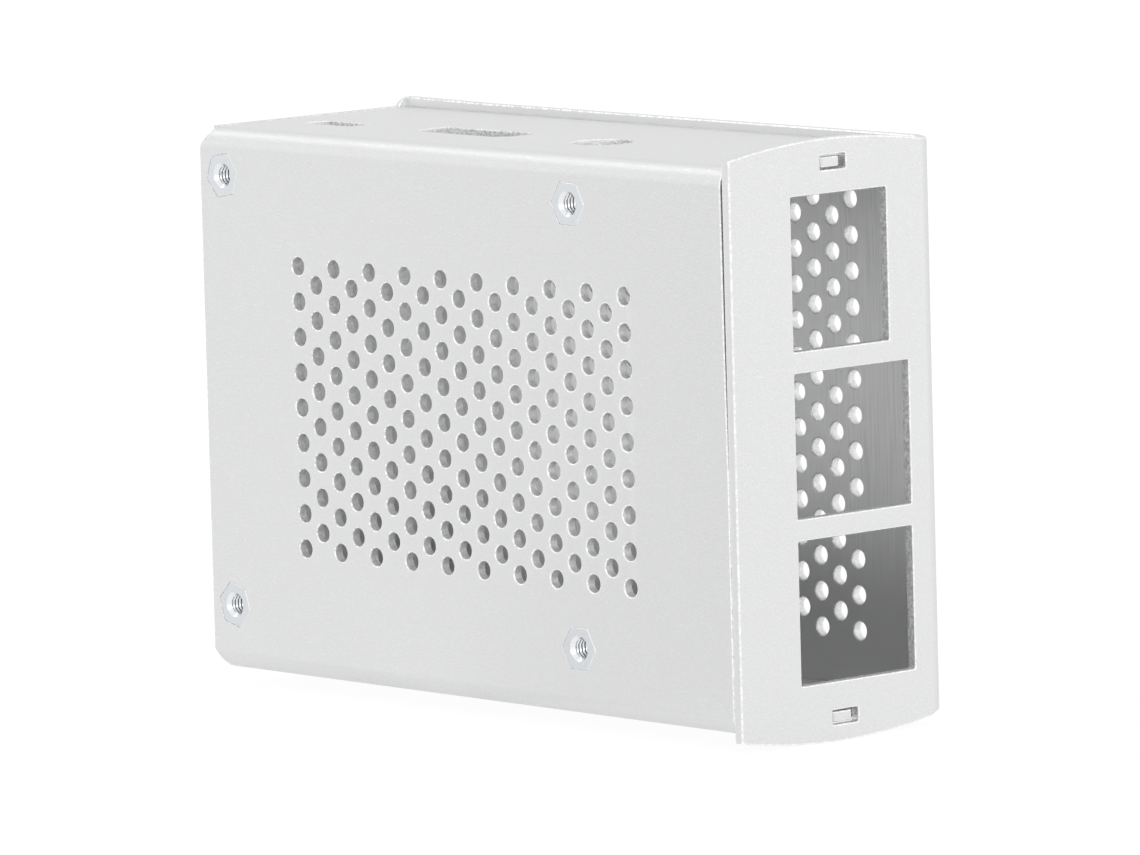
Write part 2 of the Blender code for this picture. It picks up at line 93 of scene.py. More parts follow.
# Steps of the curved parts of a blank
ROUND_STEPS = 3
TAB_STEPS = 5
WALL_STEPS = 8
CLIP_STEPS = 12
CROWN_STEPS = 24
DIP_STEPS = 12
CORNER_STEPS = 12
OPENING_STEPS = 3
TRAY_FACETS = 14                    # of each bend
COVER_FACETS = 16
BEND_GUARD = 0.06 * MM              # flat strip kept beside each bend, for its shading
SHARP_COSINE = math.cos(math.radians(35))
TOUCHING = 1e-7                     # points that are nearer than this fall together
MITRE_LEAST = 0.2                   # least divisor of a mitre, so that sharp corners stay short

# Tray
CARD_END_GAP = 0.3 * MM             # walls' edge to the inside of the cover's card end
GAP_CLOSED = -3.0 * MM              # where the jack end's gap has closed, from the middle
GAP_NARROWED = 12.0 * MM            # where it has narrowed by the next share of its taper
GAP_SHARE = 0.42
TRAY_VENTS = (19, 9)                # columns, and vents in the longer columns
TRAY_VENT_SHIFT = 0.4 * MM
SEAT_GAP = 0.02 * MM                # round a pressed standoff
POCKET_PLAY = 0.1 * MM              # below a standoff's head
POCKET_SIDES = 72
POCKET_EDGE_SHARE = 0.3             # of the edge rounding, at the front of a pocket
POCKET_REACH = 2.68 * MM            # corners of the pockets are cut round here
HEAD_REACH = 2.66 * MM              # and those of the heads here

# Openings in the port wall: distance from the board's card end, height above the base plate's
# outer face, and half sizes
BOARD_CARD_EDGE = COVER_LOW.x + 0.3 * MM
POWER_PLACE = (10.6 * MM, 11.4 * MM)
POWER_HALF = (4.0 * MM, 1.65 * MM)
POWER_CORNER = 0.8 * MM
VIDEO_PLACE = (32.0 * MM, 12.95 * MM)
VIDEO_HALF = (7.55 * MM, 2.7 * MM)
VIDEO_CHAMFER = 1.5 * MM
AUDIO_PLACE = (53.5 * MM, 12.7 * MM)
AUDIO_RADIUS = 3.4 * MM
AUDIO_SIDES = 48

# Cover
LIP_RISES = 15.0 * MM               # the straight edges rise from here to the card end
CORNER_FOOT = 0.55 * MM             # foot of the card end's corners, beyond half the length
CARD_END_RISE = 2.15 * MM           # card end's free edge above the base plate's outer face
BOARD_PORT_GAP = 0.62 * MM          # board's edge to the inside of the port wall
BOARD_HALF_WIDTH = 28.0 * MM
NOTCH_HALF_WIDTH = 27.5 * MM
NOTCH_TOP = 10.0 * MM               # above the base plate's outer face
NOTCH_CORNER = 1.0 * MM
COVER_VENTS = (21, 13)
COVER_VENT_SHIFT = (1.15 * MM, 0.3 * MM)
WINDOW_TOP = 26.9 * MM              # above the middle of the case
WINDOW_START = 9.05 * MM            # above the base plate's outer face
WINDOW_BAR = 2.45 * MM
WINDOWS = ((7.85 * MM, 16.75 * MM), (5.05 * MM, 15.8 * MM), (5.05 * MM, 15.8 * MM))
SLOT_START = 13.55 * MM             # above the base plate's outer face
SLOT_LENGTH = 3.85 * MM
SLOT_GAP = 0.2 * MM                 # round the tabs, across the sheet
OPENING_CORNER = 0.15 * MM

# Standoffs and screws
MOUTH_RADIUS = 1.43 * MM            # countersinks of the standoffs
HEAD_RELIEF = (0.06 * MM, 0.05 * MM)    # rounding of the heads' front edge, across and down
STANDOFF_EDGE = 0.12 * MM
STANDOFF_MIDEDGE = 0.6              # of that edge, at the middle of its rounding
COUNTERSINK_SLOPES = (-0.95, -0.3)  # normals along Y of the front countersinks' faces
STANDOFF_SIDES = 60
BORE_INSET = 0.02 * MM              # ends of the thread below the countersinks
THREAD_STEPS = 8                    # rows in one turn of a thread
THREAD_FLANK, THREAD_ROOT = 2.6, 0.55   # slope of its flanks, and width of its root
SMOOTH_ANGLE = math.radians(32)     # sharper edges of the turned pieces are left sharp
SCREW_PLAY = 0.1 * MM               # screw's head to its seat
SCREW_EDGE = 0.6 * MM               # straight rim of the pan head
SCREW_BEVEL = (0.05 * MM, 0.12 * MM)    # of the rim's foot, half way and at the seat
SHANK_FILLET = (0.2 * MM, 0.1 * MM)     # from the seat into the shank, across and down
SCREW_SIDES = 48
SHANK_START, SHANK_TIP = 0.35 * MM, 0.25 * MM   # thread's ends from the head and from the tip
DOME_STEPS = 16
DOME_FLAT = 0.35                    # of a step, at the top of the dome
CROSS_TURN = 0.4                    # of the recess, in radians
CROSS_RADII = (1.45 * MM, 0.75 * MM)
CROSS_LENGTH = 2.6 * MM             # of the cutter, half of which is above the head
CROSS_NARROWING = 0.26

# Stage: each lamp's name, place, size in metres and power in watts
LAMPS = (
    ("right_softbox", (0.95, 0.85, 0.05), 0.9, 1.38),
    ("left_softbox", (-0.80, -0.95, 0.10), 1.2, 1.1),
    ("upper_left_softbox", (-0.9, -0.2, 0.95), 0.45, 0.65),
    ("front_softbox", (0.95, -1.0, 0.55), 0.5, 1.6),
)
FLOOR_GAP = 0.05 * MM
FLOOR_SHARE = 0.85                  # of plain white in the floor, which keeps the shadow faint
FLOOR_WHITE = 1.06
CAMERA_PLACE = (0.87349, -0.79032, 0.17377)
CAMERA_TURN, CAMERA_RISE, CAMERA_ROLL = (math.radians(a) for a in (47.855, 6.906, -1.523))
CAMERA_LENS = 335.87                # in millimetres, on a sensor 36 mm wide


def length(name, description, default):
    return FloatProperty(name=name, description=description, default=default, unit="LENGTH", precision=5)


def colour(name, description, default):
    return FloatVectorProperty(
        name=name, description=description, default=default, size=3, min=0.0, max=1.0, subtype="COLOR")


class CaseSheetSizes(PropertyGroup):
    """Sizes that both folded sheets share, and those of each one's cuts."""

    thickness: length("Thickness", "Thickness of both sheets", 1.2 * MM)
    edge: length("Edge rounding", "Radius of the deburred edges", 0.17 * MM)
    vent_diameter: length("Vent diameter", "Diameter of each punched vent", 2.0 * MM)
    vent_step: length("Vent column step", "Distance between staggered columns of vents", 3.0 * MM)
    vent_pitch: length("Vent row pitch", "Distance between the vents of one column", 4.0 * MM)
    vent_sides: IntProperty(name="Vent sides", description="Sides of each round vent", default=28)
    tray_bend: length("Tray bend", "Inside radius of the tray's bends", 1.0 * MM)
    cover_bend: length("Cover bend", "Inside radius of the cover's bends", 1.5 * MM)
    wall_corner: length("Wall corner", "Radius of the walls' corners", 1.2 * MM)
    tab_start: length("Tab start", "Near edge of the tabs above the base plate's outer face", 13.9 * MM)
    tab_width: length("Tab width", "Width of the tabs", 2.9 * MM)
    tab_corner: length("Tab corner", "Radius of the tabs' corners", 0.4 * MM)
    port_side_gap: length(
        "Gap on the port side", "Tray's edge to the inside of the jack end, on the port side", 0.36 * MM)
    plain_side_gap: length(
        "Gap on the plain side", "Tray's edge to the inside of the jack end, on the plain side", 0.02 * MM)
    lip: length("Cover lip", "Height of the cover's straight edges above the walls", 0.95 * MM)
    card_lip: length("Lip at the card end", "Height of the straight edges at the card end", 1.1 * MM)
    card_corner: length("Card end corner", "Radius of the cover's corners at the card end", 2.2 * MM)
    crown: length("Crown", "Height of the jack end's curved edges above the walls", 2.05 * MM)
    port_side_dip: length(
        "Dip, port side", "Dip of the port side's edge in the jack end's bend", 0.12 * MM)
    plain_side_dip: length(
        "Dip, plain side", "Dip of the plain side's edge in the jack end's bend", 0.45 * MM)
    crown_place: length("Crown place", "Middle of the curved edges above the base plate", 15.0 * MM)


class CaseFastenerSizes(PropertyGroup):
    """Sizes of the standoffs and the board screws."""

    hex_flats: length("Hexagon", "Width of the standoff's head across its flats", 4.65 * MM)
    hex_thickness: length("Head thickness", "Thickness of the standoff's head", 0.8 * MM)
    barrel: length("Barrel", "Diameter of the standoff's barrel", 4.2 * MM)
    bore: length("Bore", "Diameter of the bore at the roots of its thread", 2.5 * MM)
    pitch: length("Pitch", "Pitch of the thread", 0.45 * MM)
    thread_depth: length("Thread depth", "Depth of the thread", 0.23 * MM)
    thread_gap: length("Thread gap", "Gap between the screw and the bore", 0.04 * MM)
    head: length("Screw head", "Diameter of the screw's head", 4.6 * MM)


class CaseFinishColours(PropertyGroup):
    """Colours of the finishes."""

    sheet: colour("Sheet", "Blasted aluminium sheet", (0.735, 0.737, 0.741))
    inside: colour("Inside", "Inside faces of the sheets", (0.90, 0.902, 0.906))
    torn: colour("Cut face", "Cut faces, where they are torn and dull", (0.75, 0.752, 0.756))
    # Cut faces that face the jack end take this lighter colour, which is painted light
    jackward_painted_light: colour("Cut face in painted light", "Cut faces, where they face the jack end", (0.97, 0.972, 0.976))
    port: colour("Port wall", "Walls of the ports, where they are torn and dull", (0.77, 0.772, 0.776))
    vent: colour("Vent wall", "Walls of the tray's vents and pockets", (0.785, 0.787, 0.791))
    # Rounded edges: lighter than the sheet, which is a painted highlight
    rim: colour("Rim", "Rubbed edges of the sheets", (0.97, 0.97, 0.97))
    zinc: colour("Zinc", "Zinc plate of the standoffs", (0.675, 0.695, 0.72))
    # Lighter than the zinc: a painted highlight on the countersinks, and painted light in the bores
    thread: colour("Thread", "Countersinks and threads of the standoffs", (0.84, 0.855, 0.87))
    nickel: colour("Nickel", "Nickel plate of the screws", (0.60, 0.58, 0.55))
    floor: colour("Floor", "Floor under the case", (0.9, 0.9, 0.9))


class Value:
    """A socket in a Python expression, which adds the Math nodes that the expression needs."""

    def __init__(self, finish, socket):
        self.finish = finish
        self.socket = socket

    def math(self, operation, *operands):
        return self.finish.node("ShaderNodeMath", {"operation": operation}, dict(enumerate(operands)))

    def __add__(self, other):
        return self.math("ADD", self, other)

    def __radd__(self, other):
        return self.math("ADD", other, self)

    def __sub__(self, other):
        return self.math("SUBTRACT", self, other)

    def __rsub__(self, other):
        return self.math("SUBTRACT", other, self)

    def __mul__(self, other):
        return self.math("MULTIPLY", self, other)

    def __rmul__(self, other):
        return self.math("MULTIPLY", other, self)

    def between(self, low, high):
        """0 below low, 1 above high, and smooth from one to the other."""
        return self.finish.node(
            "ShaderNodeMapRange", {"interpolation_type": "SMOOTHSTEP", "clamp": True},
            {"Value": self, "From Min": low, "From Max": high, "To Min": 0.0, "To Max": 1.0})


class Finish:
    """A material, its Principled shader and the nodes that feed it."""

    def __init__(self, name):
        self.material = bpy.data.materials.new(name)
        self.material.use_nodes = True
        self.tree = self.material.node_tree
        self.tree.nodes.clear()
        self.output = self.tree.nodes.new("ShaderNodeOutputMaterial")
        self.count = 0

    def node(self, kind, settings=None, inputs=None, output=0):
        """Adds a node, sets its settings, then its sockets' values or links, and gives one output."""
        made = self.tree.nodes.new(kind)
        made.location = (-220 * (self.count % 8) - 300, -260 * (self.count // 8))
        self.count += 1
        for key, setting in (settings or {}).items():
            setattr(made, key, setting)
        for key, given in (inputs or {}).items():
            self.feed(made.inputs[key], given)
        return Value(self, made.outputs[output])

    def feed(self, socket, given):
        if isinstance(given, Value):
            self.tree.links.new(given.socket, socket)
        elif isinstance(given, (int, float)) and socket.type in ("RGBA", "VECTOR"):
            socket.default_value = (given,) * 3 + ((1.0,) if socket.type == "RGBA" else ())
        elif socket.type == "RGBA":
            socket.default_value = (*given[:3], 1.0)
        else:
            socket.default_value = given

    def place(self):
        """The place of a point on the object, in the frame."""
        return self.node("ShaderNodeTexCoord", output="Object")

    def axis(self, place, name):
        return self.node("ShaderNodeSeparateXYZ", None, {"Vector": place}, name)

    def stretched(self, place, scale):
        return self.node("ShaderNodeVectorMath", {"operation": "MULTIPLY"}, {0: place, 1: scale})

    def noise(self, place, scale, detail, roughness):
        inputs = {"Vector": place, "Scale": scale, "Detail": detail, "Roughness": roughness}
        return self.node("ShaderNodeTexNoise", None, inputs, "Fac")

    def cells(self, place, scale):
        """Cells of one random colour each."""
        inputs = {"Vector": place, "Scale": scale}
        return self.node("ShaderNodeTexVoronoi", {"feature": "F1"}, inputs, "Color")

    def blend(self, factor, first, second):
        """Mixes two colours."""
        settings = {"data_type": "RGBA", "blend_type": "MIX"}
        return self.node("ShaderNodeMix", settings, {"Factor": factor, 6: first, 7: second}, 2)

    def lit(self, shade, amount):
        """A colour made lighter or darker by a factor."""
        return self.node(
            "ShaderNodeVectorMath", {"operation": "SCALE"}, {0: shade, "Scale": amount})

    def bump(self, height, strength, distance):
        return self.node(
            "ShaderNodeBump", None, {"Height": height, "Strength": strength, "Distance": distance})

    def shade(self, **inputs):
        """Adds the Principled shader; underscores in a name stand for spaces."""
        named = {key.replace("_", " "): given for key, given in inputs.items()}
        shader = self.node("ShaderNodeBsdfPrincipled", None, named)
        self.tree.links.new(shader.socket, self.output.inputs["Surface"])
        return self.material


# What the finishes of the bare sheets share
ALUMINIUM = {"Metallic": 0.92, "Specular_Tint": 0.93}


def sheet_finish(name, colours, shift):
    """Blasted and anodised aluminium: matt, with a fine sparkle and faint cloudiness."""
    finish = Finish(name)
    place = finish.node(
        "ShaderNodeVectorMath", {"operation": "ADD"}, {0: finish.place(), 1: (shift, shift, 0.0)})
    grain = finish.noise(place, scale=5600.0, detail=2.0, roughness=0.6)
    pits = finish.noise(place, scale=3600.0, detail=3.0, roughness=0.6)
    cloud = finish.noise(place, scale=55.0, detail=3.0, roughness=0.5)
    flakes = finish.axis(finish.cells(place, scale=7000.0), "X")
    sparkle = flakes.between(0.90, 1.0)
    tone = 1.0 + (cloud - 0.5) * 0.02 + (grain - 0.5) * 0.10 + (pits - 0.5) * 0.09 + sparkle * 0.04
    rough = 0.44 + (cloud - 0.5) * 0.04 + (pits - 0.5) * 0.16 - sparkle * 0.14
    return finish.shade(
        Base_Color=finish.lit(tuple(colours.sheet), tone), Roughness=rough,
        Normal=finish.bump(grain + pits * 1.5, strength=0.5, distance=0.04 * MM), **ALUMINIUM)


def inside_finish(name, colours, across):
    """Inside of a sheet: satin, with fine rolling lines that run along Z or along X, and painted shade that
    darkens it towards the bottom, with a little painted light above.

    Outside the tray's walls the inside is seen from without, and has the outer faces' finish.
    """
    finish = Finish(name)
    place = finish.place()
    height = finish.axis(place, "Z") - MIDDLE_Z
    reach = (TRAY_HIGH.z - TRAY_LOW.z) / 2
    off_middle = finish.node("ShaderNodeMath", {"operation": "ABSOLUTE"}, {0: height})
    hidden = 1.0 - off_middle.between(reach - 0.15 * MM, reach)
    fine = finish.noise(finish.stretched(place, across), scale=1.0, detail=2.0, roughness=0.6)
    broad_across = tuple(0.33 * lines for lines in across)
    broad = finish.noise(finish.stretched(place, broad_across), scale=1.0, detail=2.0, roughness=0.5)
    cloud = finish.noise(place, scale=70.0, detail=3.0, roughness=0.5)
    near = finish.axis(place, "X").between(22.0 * MM, 33.0 * MM)
    # Painted shade: 0 low down, where the inside is darkened, and 1 higher up, where it is a little lighter
    # and its lines show
    above_painted_shade = height.between(-0.68 * reach, -0.28 * reach)
    lines = (fine - 0.5) * (0.12 + near * 0.38) * above_painted_shade * hidden
    # The last factor is the painted shade and light, from 0.85 at the bottom to 1.055 above
    tone = (1.0 + lines + (cloud - 0.5) * 0.04) * (0.85 + above_painted_shade * 0.205)
    inner = finish.lit(tuple(colours.inside), tone)
    outer = finish.lit(tuple(colours.sheet), 1.0 + (cloud - 0.5) * 0.02)
    rough = 0.40 + (fine - 0.5) * 0.10
    return finish.shade(
        Base_Color=finish.blend(hidden, outer, inner), Roughness=rough,
        Normal=finish.bump((fine + broad) * hidden, strength=0.25, distance=0.02 * MM), **ALUMINIUM)


def cut_finish(name, dull, bright, relief):
    """Cut faces: torn into fine blotches, and lighter where they face the jack end, which is painted light.
    """
    finish = Finish(name)
    place = finish.place()
    torn = finish.noise(place, scale=2900.0, detail=3.0, roughness=0.7).between(0.36, 0.64)
    worn = finish.noise(place, scale=900.0, detail=3.0, roughness=0.55)
    # Painted light: 1 where a cut face faces the jack end, which then takes the lighter colour
    painted_light_side = finish.axis(finish.node("ShaderNodeTexCoord", output="Normal"), "X").between(0.05, 0.45)
    shade = finish.blend(painted_light_side, tuple(dull), tuple(bright))
    tone = 1.0 + (torn - 0.5) * (0.44 - painted_light_side * 0.26) + (worn - 0.5) * 0.20
    rough = 0.46 + (worn - 0.5) * 0.2
    return finish.shade(
        Base_Color=finish.lit(shade, tone), Metallic=0.6, Specular_Tint=0.8, Roughness=rough,
        Normal=finish.bump(torn, strength=0.6, distance=relief))


def rim_finish(name, colours):
    """Rounded edges: lighter than the sheet, as a painted highlight, and worn smoother in specks whose
    lighter colour is a painted glint; the specks stand out more towards the card end.
    """
    finish = Finish(name)
    place = finish.place()
    cardward = 1.0 - finish.axis(place, "X").between(-22.0 * MM, 24.0 * MM)
    # Specks worn smoother, whose lighter colour is a painted glint
    rubbed_and_glint_specks = finish.noise(place, scale=2300.0, detail=3.0, roughness=0.6).between(0.46, 0.58)
    # Between the specks the edges are darker towards the card end
    dull = finish.lit(tuple(colours.rim), 0.86 - cardward * 0.14)
    rough = 0.42 - rubbed_and_glint_specks * 0.18
    return finish.shade(
        Base_Color=finish.blend(rubbed_and_glint_specks, dull, tuple(colours.rim)), Roughness=rough,
        Normal=finish.bump(rubbed_and_glint_specks, strength=0.2, distance=0.01 * MM), **ALUMINIUM)


def plated_finish(name, shade, stain, roughness):
    """Bright plating with faint clouds and stains, and fine turning marks."""
    finish = Finish(name)
    place = finish.place()
    cloud = finish.noise(place, scale=420.0, detail=4.0, roughness=0.6)
    marks = finish.noise(
        finish.stretched(place, (1.0, 6.0, 1.0)), scale=2600.0, detail=2.0, roughness=0.6)
    spots = finish.noise(place, scale=1500.0, detail=2.0, roughness=0.5).between(0.58, 0.75)
    tone = 1.0 + (cloud - 0.5) * 0.08 + (marks - 0.5) * 0.04 - spots * 0.03
    stained = finish.blend(spots * 0.2, tuple(shade), stain)
    rough = roughness + (cloud - 0.5) * 0.10 + spots * 0.06
    return finish.shade(
        Base_Color=finish.lit(stained, tone), Metallic=1.0, Roughness=rough,
        Normal=finish.bump(marks + cloud * 0.5, strength=0.15, distance=0.02 * MM))


def mesh_from(bm, name):
    """Turns a bmesh into a mesh, and frees it."""
    mesh = bpy.data.meshes.new(name)
    bm.to_mesh(mesh)
    bm.free()
    return mesh


def object_from(data, name, place=(0, 0, 0)):
    """Makes an object and puts it in the scene."""
    made = bpy.data.objects.new(name, data)
    bpy.context.scene.collection.objects.link(made)
    made.location = place
    return made


def arc(centre, radius, start, end, segments):
    """Points of a flat arc, both ends included."""
    points = []
    for step in range(segments + 1):
        angle = start + (end - start) * step / segments
        points.append((centre[0] + radius * math.cos(angle), centre[1] + radius * math.sin(angle)))
    return points


def rounded_box(low, high, radius, segments):
    """A rectangle with rounded corners, anticlockwise."""
    points = []
    corners = ((high[0], high[1], 0), (low[0], high[1], 1), (low[0], low[1], 2), (high[0], low[1], 3))
    for x, y, quarter in corners:
        across = -radius if quarter in (0, 3) else radius
        up = -radius if quarter < 2 else radius
        start = quarter * QUARTER
        points += arc((x + across, y + up), radius, start, start + QUARTER, segments)
    return points


def inset(points, amount):
    """A closed outline moved to its left by an amount, so inwards where it runs anticlockwise."""
    moved = []
    count = len(points)
    for index, point in enumerate(points):
        here = Vector(point)
        before = (here - Vector(points[index - 1])).normalized()
        after = (Vector(points[(index + 1) % count]) - here).normalized()
        left_before = Vector((-before.y, before.x))
        left_after = Vector((-after.y, after.x))
        mitre = (left_before + left_after) / max(MITRE_LEAST, 1 + left_before.dot(left_after))
        moved.append(tuple(here + mitre * amount))
    return moved


def without_repeats(points):
    """A closed outline without points that fall together."""
    kept = []
    for point in points:
        if not kept or math.dist(point, kept[-1]) > TOUCHING:
            kept.append(point)
    if math.dist(kept[0], kept[-1]) < TOUCHING:
        kept.pop()
    return kept


def cap(bm, loops, roundings, w, is_front):
    """Fills one side of a blank between its outline and its holes, and gives its loops of corners."""
    rims = [inset(loop, rounding) for loop, rounding in zip(loops, roundings)]
    coords = []
    edges = []
    owner = []
    for number, rim in enumerate(rims):
        first = len(coords)
        coords += [Vector(point) for point in rim]
        owner += [number] * len(rim)
        edges += [(first + k, first + (k + 1) % len(rim)) for k in range(len(rim))]
    verts, _, faces, origins, _, _ = delaunay_2d_cdt(coords, edges, [], 1, 1e-9)
    made = [bm.verts.new((point.x, point.y, w)) for point in verts]
    named = {source: number for number, sources in enumerate(origins) for source in sources}
    for face in faces:
        owners = {owner[origins[number][0]] for number in face}
        if len(owners) == 1 and 0 not in owners:
            continue
        corners = [made[number] for number in face]
        filled = bm.faces.new(corners[::-1] if is_front else corners)
        filled.smooth = True
        filled.material_index = FRONT if is_front else BACK
    found = [made[named[k]] for k in range(len(coords))]
    loops_made = []
    for rim in rims:
        loops_made.append(found[:len(rim)])
        found = found[len(rim):]
    return loops_made


def strip(bm, lower, upper, slot):
    """Joins two closed loops of corners."""
    for k in range(len(lower)):
        following = (k + 1) % len(lower)
        face = bm.faces.new((lower[k], upper[k], upper[following], lower[following]))
        face.smooth = True
        face.material_index = slot


def blank(bm, outline, holes, thickness, edge, pocket_depths, looks):
    """Fills a bmesh with a flat blank with rounded edges: its front at w = 0, its back at w = thickness.

    The outline runs anticlockwise and the holes clockwise, so that the material lies to the
    left of each. A hole with a depth in pocket_depths is a pair of outlines: its front one and
    its back one. For the holes numbered in looks, a pair gives the slots of their cut faces and
    of their front edge.
    """
    fronts = [outline] + [hole[0] if isinstance(hole, tuple) else hole for hole in holes]
    backs = [outline] + [hole[1] if isinstance(hole, tuple) else hole for hole in holes]
    front_edges = [edge] * len(fronts)
    for number in pocket_depths:
        front_edges[number + 1] = edge * POCKET_EDGE_SHARE
    front_rims = cap(bm, fronts, front_edges, 0.0, True)
    back_rims = cap(bm, backs, [edge] * len(backs), thickness, False)
    turns = [QUARTER * step / ROUND_STEPS for step in range(1, ROUND_STEPS + 1)]

    def ring(loop, amount, w):
        return [bm.verts.new((x, y, w)) for x, y in inset(loop, amount)]

    for number, (front, back) in enumerate(zip(fronts, backs)):
        depth = pocket_depths.get(number - 1)
        cut, front_rim = (FRONT, RIM) if number == 0 else looks.get(number - 1, (CUT, RIM))
        front_edge = front_edges[number]
        rings = [front_rims[number]]
        for turn in turns:
            rings.append(ring(front, front_edge * (1 - math.sin(turn)), front_edge * (1 - math.cos(turn))))
        slots = [front_rim] * ROUND_STEPS
        if depth:
            rings += [ring(front, 0.0, depth), ring(back, 0.0, depth)]
            slots += [CUT, CUT]
        for turn in reversed(turns):
            rings.append(ring(back, edge * (1 - math.sin(turn)), thickness - edge * (1 - math.cos(turn))))
        rings.append(back_rims[number])
        slots += [cut] + [RIM] * ROUND_STEPS
        for lower, upper, slot in zip(rings, rings[1:], slots):
            strip(bm, lower, upper, slot)


def cut_at_bends(bm, bends, facets):
    """Cuts a blank along the lines where it folds; a bend is a (start, end) pair along v."""
    lines = []
    for start, end in bends:
        lines += [start - BEND_GUARD, end + BEND_GUARD]
        lines += [start + (end - start) * k / facets for k in range(facets + 1)]
    for line in lines:
        geometry = bm.verts[:] + bm.edges[:] + bm.faces[:]
        bmesh.ops.bisect_plane(
            bm, geom=geometry, dist=1e-8, plane_co=(0, line, 0), plane_no=(0, 1, 0))


def flat_normals(mesh):
    """Shading normals of a flat blank: weighted by area, and sharp at corners over 35 degrees."""
    corners = np.empty(len(mesh.loops), dtype=np.int64)
    mesh.loops.foreach_get("vertex_index", corners)
    sizes = np.empty(len(mesh.polygons), dtype=np.int64)
    areas = np.empty(len(mesh.polygons))
    faces = np.empty(3 * len(mesh.polygons))
    mesh.polygons.foreach_get("loop_total", sizes)
    mesh.polygons.foreach_get("area", areas)
    mesh.polygons.foreach_get("normal", faces)
    face_normals = np.repeat(faces.reshape(-1, 3), sizes, axis=0)
    sums = np.zeros((len(mesh.vertices), 3))
    np.add.at(sums, corners, face_normals * np.repeat(areas, sizes)[:, None])
    sums /= np.linalg.norm(sums, axis=1)[:, None] + 1e-30
    normals = sums[corners]
    sharp = (normals * face_normals).sum(axis=1) < SHARP_COSINE
    normals[sharp] = face_normals[sharp]
    return normals, corners


def sheet_object(name, bm, folded, materials):
    """Puts every corner of a blank in its folded place, and makes the object.

    The function folded takes a corner's place in the blank, and gives its place in the frame
    and the directions that the blank's three axes have there. Those directions are left-handed,
    so the faces are turned over first.
    """
    bmesh.ops.recalc_face_normals(bm, faces=bm.faces)
    bmesh.ops.reverse_faces(bm, faces=bm.faces)
    mesh = mesh_from(bm, name)
    normals, corners = flat_normals(mesh)
    places = []
    axes = []
    for vert in mesh.vertices:
        place, turned = folded(*vert.co)
        places.append(place)
        axes.append(turned)
    mesh.vertices.foreach_set("co", np.array(places, dtype=np.float32).ravel())
    turned = -np.einsum("nk,nkj->nj", normals, np.array(axes)[corners])
    mesh.update()
    mesh.normals_split_custom_set(turned.tolist())
    for material in materials:
        mesh.materials.append(material)
    return object_from(mesh, name)


def vents(columns, rows, middle, sizes):
    """Round holes in staggered columns, clockwise."""
    holes = []
    radius = sizes.vent_diameter / 2
    for column in range(columns):
        count = rows - column % 2
        u = middle[0] + (column - (columns - 1) / 2) * sizes.vent_step
        for row in range(count):
            v = middle[1] + (row - (count - 1) / 2) * sizes.vent_pitch
            holes.append(arc((u, v), radius, 0, -2 * math.pi, sizes.vent_sides)[:-1])
    return holes


def clockwise(points):
    """A closed outline, turned round if it runs anticlockwise."""
    area = sum(a[0] * b[1] - b[0] * a[1] for a, b in zip(points, points[1:] + points[:1]))
    return points if area < 0 else points[::-1]


def seat_place(name):
    """Middle of a standoff's head, in the plane of the base plate's outer face."""
    low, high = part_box("standoff_" + name)
    return Vector(((low.x + high.x) / 2, low.y, (low.z + high.z) / 2))


def hexagon_reach(flats, angle, limit):
    """Distance from the middle of a hexagon to its side, with its corners cut round at a limit."""
    off_flat = math.radians(math.degrees(angle) % 60 - 30)
    return min(flats / 2 / math.cos(off_flat), limit)


class FoldedBlank:
    """A sheet laid flat, which is folded at right angles at both ends of V."""

    def __init__(self, sizes, inside_radius, half):
        self.sizes = sizes
        self.radius = inside_radius + sizes.thickness
        self.flat = half - self.radius
        self.bend = self.radius * QUARTER
        self.end = self.flat + self.bend
        self.bends = ((self.flat, self.end), (-self.end, -self.flat))

    def fold(self, v, w):
        """A point's distance out, its depth from the outer face, and the bend's sine and cosine there."""
        side = 1 if v > 0 else -1
        v = abs(v)
        turn = min(max((v - self.flat) / self.radius, 0.0), QUARTER)
        sine, cosine = math.sin(turn), math.cos(turn)
        out = min(v, self.flat) + (self.radius - w) * sine
        depth = self.radius - (self.radius - w) * cosine + max(v - self.end, 0.0)
        return side * out, depth, side * sine, cosine


